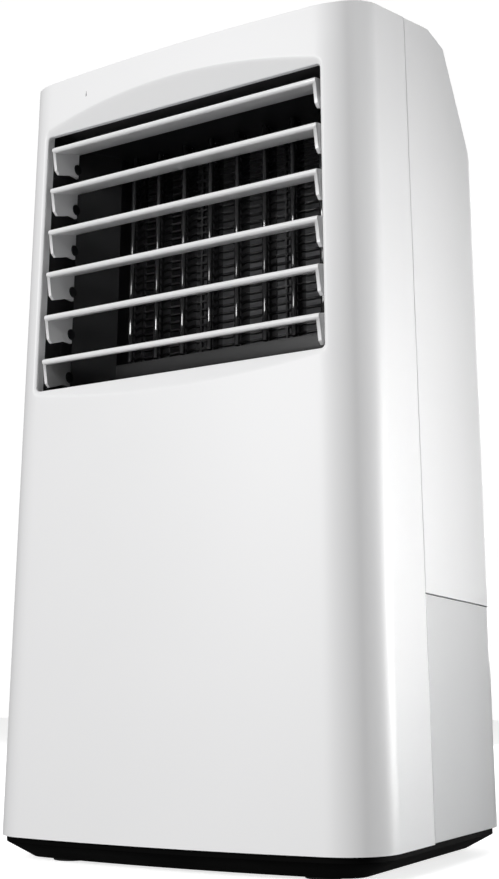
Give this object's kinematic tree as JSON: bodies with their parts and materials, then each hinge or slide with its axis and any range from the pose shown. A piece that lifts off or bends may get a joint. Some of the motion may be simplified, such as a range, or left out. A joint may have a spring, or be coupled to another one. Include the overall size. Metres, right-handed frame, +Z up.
{
  "type": "portable air conditioner",
  "caption": "Floor-standing evaporative air conditioner tower with a louvred front outlet, swinging vanes, a centrifugal fan, a slide-out rear water tank and a removable intake panel.",
  "frame": {"origin": "on the floor under the middle of the housing", "axes": "+Z up, the front and its air outlet face -Y, +X is to the right seen from the front"},
  "size_m": [0.29, 0.268, 0.62],
  "materials": {
    "shell_white": "satin gloss white moulded plastic",
    "tank_white": "satin gloss white moulded plastic",
    "louvre_white": "satin white moulded plastic",
    "duct_black": "satin black plastic",
    "vane_black": "gloss black plastic",
    "panel_black": "gloss black",
    "display_smoke": "smoked window",
    "button_grey": "satin grey",
    "inner_grey": "matt grey",
    "steel": "plated steel",
    "bronze": "sintered bronze",
    "capacitor_white": "matt",
    "filter_mesh": "woven mesh",
    "pad_paper": "fluted cellulose",
    "hose_clear": "milky silicone",
    "pump_black": "matt black",
    "float_yellow": "matt",
    "base_black": "satin black",
    "foot_rubber": "matt black",
    "board_green": "circuit board"
  },
  "bodies": {
    "housing": {"front_shell": "shell_white", "rear_shell": "shell_white", "top_cover": "shell_white", "control_panel": "panel_black", "display_window": "display_smoke", "receiver_window": "display_smoke", "outlet_duct": "duct_black", "guard_grille": "duct_black", "swing_motor": "steel", "scroll_front": "inner_grey", "scroll_rear": "inner_grey", "motor_body": "steel", "motor_bushes": "bronze", "motor_bracket": "inner_grey", "motor_screws": "steel", "motor_capacitor": "capacitor_white", "drip_tray": "inner_grey", "water_hose": "hose_clear", "hose_coupler": "pump_black", "chassis": "inner_grey", "base": "base_black", "rubber_feet": "foot_rubber", "control_board": "board_green", "power_board": "board_green", "cord_gland": "pump_black", "shell_screws": "steel"},
    "louvre_1": {"louvre_1": "louvre_white"},
    "louvre_2": {"louvre_2": "louvre_white"},
    "louvre_3": {"louvre_3": "louvre_white"},
    "louvre_4": {"louvre_4": "louvre_white"},
    "louvre_5": {"louvre_5": "louvre_white"},
    "louvre_6": {"louvre_6": "louvre_white"},
    "louvre_link": {"louvre_tie_bar": "louvre_white"},
    "vane_1": {"vane_1": "vane_black"},
    "vane_2": {"vane_2": "vane_black"},
    "vane_3": {"vane_3": "vane_black"},
    "vane_4": {"vane_4": "vane_black"},
    "vane_5": {"vane_5": "vane_black"},
    "vane_6": {"vane_6": "vane_black"},
    "vane_7": {"vane_7": "vane_black"},
    "vane_8": {"vane_8": "vane_black"},
    "vane_link": {"vane_tie_bar": "vane_black"},
    "fan": {"fan_wheel": "inner_grey", "fan_nut": "steel", "motor_shaft": "steel"},
    "intake": {"intake_panel": "shell_white", "dust_filter": "filter_mesh", "pad_frame": "inner_grey", "cooling_pad": "pad_paper"},
    "tank": {"water_tank": "tank_white", "pump_body": "pump_black", "pump_riser": "hose_clear"},
    "pump_rotor": {"pump_impeller": "pump_black"},
    "float": {"float_arm": "float_yellow"},
    "latch": {"tank_latch": "pump_black"},
    "button_power": {"button_power": "button_grey"},
    "button_speed": {"button_speed": "button_grey"},
    "button_swing": {"button_swing": "button_grey"},
    "button_cool": {"button_cool": "button_grey"},
    "button_timer": {"button_timer": "button_grey"}
  },
  "joints": [
    {"name": "louvre_1_tilt", "type": "hinge", "parent": "housing", "child": "louvre_1", "pos_m": [0, -0.094, 0.5097], "axis": [1, 0, 0], "range_deg": [-15, 30]},
    {"name": "louvre_2_tilt", "type": "hinge", "parent": "housing", "child": "louvre_2", "pos_m": [0, -0.094, 0.4756], "axis": [1, 0, 0], "range_deg": [-15, 30]},
    {"name": "louvre_3_tilt", "type": "hinge", "parent": "housing", "child": "louvre_3", "pos_m": [0, -0.094, 0.4415], "axis": [1, 0, 0], "range_deg": [-15, 30]},
    {"name": "louvre_4_tilt", "type": "hinge", "parent": "housing", "child": "louvre_4", "pos_m": [0, -0.094, 0.4074], "axis": [1, 0, 0], "range_deg": [-15, 30]},
    {"name": "louvre_5_tilt", "type": "hinge", "parent": "housing", "child": "louvre_5", "pos_m": [0, -0.094, 0.3733], "axis": [1, 0, 0], "range_deg": [-15, 30]},
    {"name": "louvre_6_tilt", "type": "hinge", "parent": "housing", "child": "louvre_6", "pos_m": [0, -0.094, 0.3392], "axis": [1, 0, 0], "range_deg": [-15, 30]},
    {"name": "louvre_link_turn", "type": "hinge", "parent": "louvre_1", "child": "louvre_link", "pos_m": [0.1155, -0.112, 0.5027], "axis": [1, 0, 0], "range_deg": [-30, 15]},
    {"name": "vane_1_swing", "type": "hinge", "parent": "housing", "child": "vane_1", "pos_m": [-0.08365, -0.0445, 0.44], "axis": [0, 0, 1], "range_deg": [-35, 35]},
    {"name": "vane_2_swing", "type": "hinge", "parent": "housing", "child": "vane_2", "pos_m": [-0.05975, -0.0445, 0.44], "axis": [0, 0, 1], "range_deg": [-35, 35]},
    {"name": "vane_3_swing", "type": "hinge", "parent": "housing", "child": "vane_3", "pos_m": [-0.03585, -0.0445, 0.44], "axis": [0, 0, 1], "range_deg": [-35, 35]},
    {"name": "vane_4_swing", "type": "hinge", "parent": "housing", "child": "vane_4", "pos_m": [-0.01195, -0.0445, 0.44], "axis": [0, 0, 1], "range_deg": [-35, 35]},
    {"name": "vane_5_swing", "type": "hinge", "parent": "housing", "child": "vane_5", "pos_m": [0.01195, -0.0445, 0.44], "axis": [0, 0, 1], "range_deg": [-35, 35]},
    {"name": "vane_6_swing", "type": "hinge", "parent": "housing", "child": "vane_6", "pos_m": [0.03585, -0.0445, 0.44], "axis": [0, 0, 1], "range_deg": [-35, 35]},
    {"name": "vane_7_swing", "type": "hinge", "parent": "housing", "child": "vane_7", "pos_m": [0.05975, -0.0445, 0.44], "axis": [0, 0, 1], "range_deg": [-35, 35]},
    {"name": "vane_8_swing", "type": "hinge", "parent": "housing", "child": "vane_8", "pos_m": [0.08365, -0.0445, 0.44], "axis": [0, 0, 1], "range_deg": [-35, 35]},
    {"name": "vane_link_turn", "type": "hinge", "parent": "vane_1", "child": "vane_link", "pos_m": [-0.08365, -0.0345, 0.345], "axis": [0, 0, 1], "range_deg": [-35, 35]},
    {"name": "fan_spin", "type": "hinge", "parent": "housing", "child": "fan", "pos_m": [0, 0, 0.2713], "axis": [0, 1, 0], "continuous": true},
    {"name": "intake_slide", "type": "slide", "parent": "housing", "child": "intake", "axis": [0, 1, 0], "range_m": [0, 0.06]},
    {"name": "tank_slide", "type": "slide", "parent": "housing", "child": "tank", "axis": [0, 1, 0], "range_m": [0, 0.12]},
    {"name": "pump_spin", "type": "hinge", "parent": "tank", "child": "pump_rotor", "pos_m": [-0.114, 0.086, 0.022], "axis": [0, 0, 1], "continuous": true},
    {"name": "float_rise", "type": "hinge", "parent": "tank", "child": "float", "pos_m": [0.085, 0.06, 0.12], "axis": [-1, 0, 0], "range_deg": [0, 40]},
    {"name": "latch_turn", "type": "hinge", "parent": "housing", "child": "latch", "pos_m": [0, 0.12438, 0.1821], "axis": [0, 1, 0], "range_deg": [0, 90]},
    {"name": "button_power_press", "type": "slide", "parent": "housing", "child": "button_power", "axis": [0, 0.324, -0.9461], "range_m": [0, 0.0012], "stiffness_N_per_m": 300},
    {"name": "button_speed_press", "type": "slide", "parent": "housing", "child": "button_speed", "axis": [0, 0.324, -0.9461], "range_m": [0, 0.0012], "stiffness_N_per_m": 300},
    {"name": "button_swing_press", "type": "slide", "parent": "housing", "child": "button_swing", "axis": [0, 0.324, -0.9461], "range_m": [0, 0.0012], "stiffness_N_per_m": 300},
    {"name": "button_cool_press", "type": "slide", "parent": "housing", "child": "button_cool", "axis": [0, 0.324, -0.9461], "range_m": [0, 0.0012], "stiffness_N_per_m": 300},
    {"name": "button_timer_press", "type": "slide", "parent": "housing", "child": "button_timer", "axis": [0, 0.324, -0.9461], "range_m": [0, 0.0012], "stiffness_N_per_m": 300}
  ],
  "couplings": [
    {"joint": "louvre_2_tilt", "follows": "louvre_1_tilt", "ratio": 1},
    {"joint": "louvre_3_tilt", "follows": "louvre_1_tilt", "ratio": 1},
    {"joint": "louvre_4_tilt", "follows": "louvre_1_tilt", "ratio": 1},
    {"joint": "louvre_5_tilt", "follows": "louvre_1_tilt", "ratio": 1},
    {"joint": "louvre_6_tilt", "follows": "louvre_1_tilt", "ratio": 1},
    {"joint": "louvre_link_turn", "follows": "louvre_1_tilt", "ratio": -1},
    {"joint": "vane_2_swing", "follows": "vane_1_swing", "ratio": 1},
    {"joint": "vane_3_swing", "follows": "vane_1_swing", "ratio": 1},
    {"joint": "vane_4_swing", "follows": "vane_1_swing", "ratio": 1},
    {"joint": "vane_5_swing", "follows": "vane_1_swing", "ratio": 1},
    {"joint": "vane_6_swing", "follows": "vane_1_swing", "ratio": 1},
    {"joint": "vane_7_swing", "follows": "vane_1_swing", "ratio": 1},
    {"joint": "vane_8_swing", "follows": "vane_1_swing", "ratio": 1},
    {"joint": "vane_link_turn", "follows": "vane_1_swing", "ratio": -1}
  ]
}
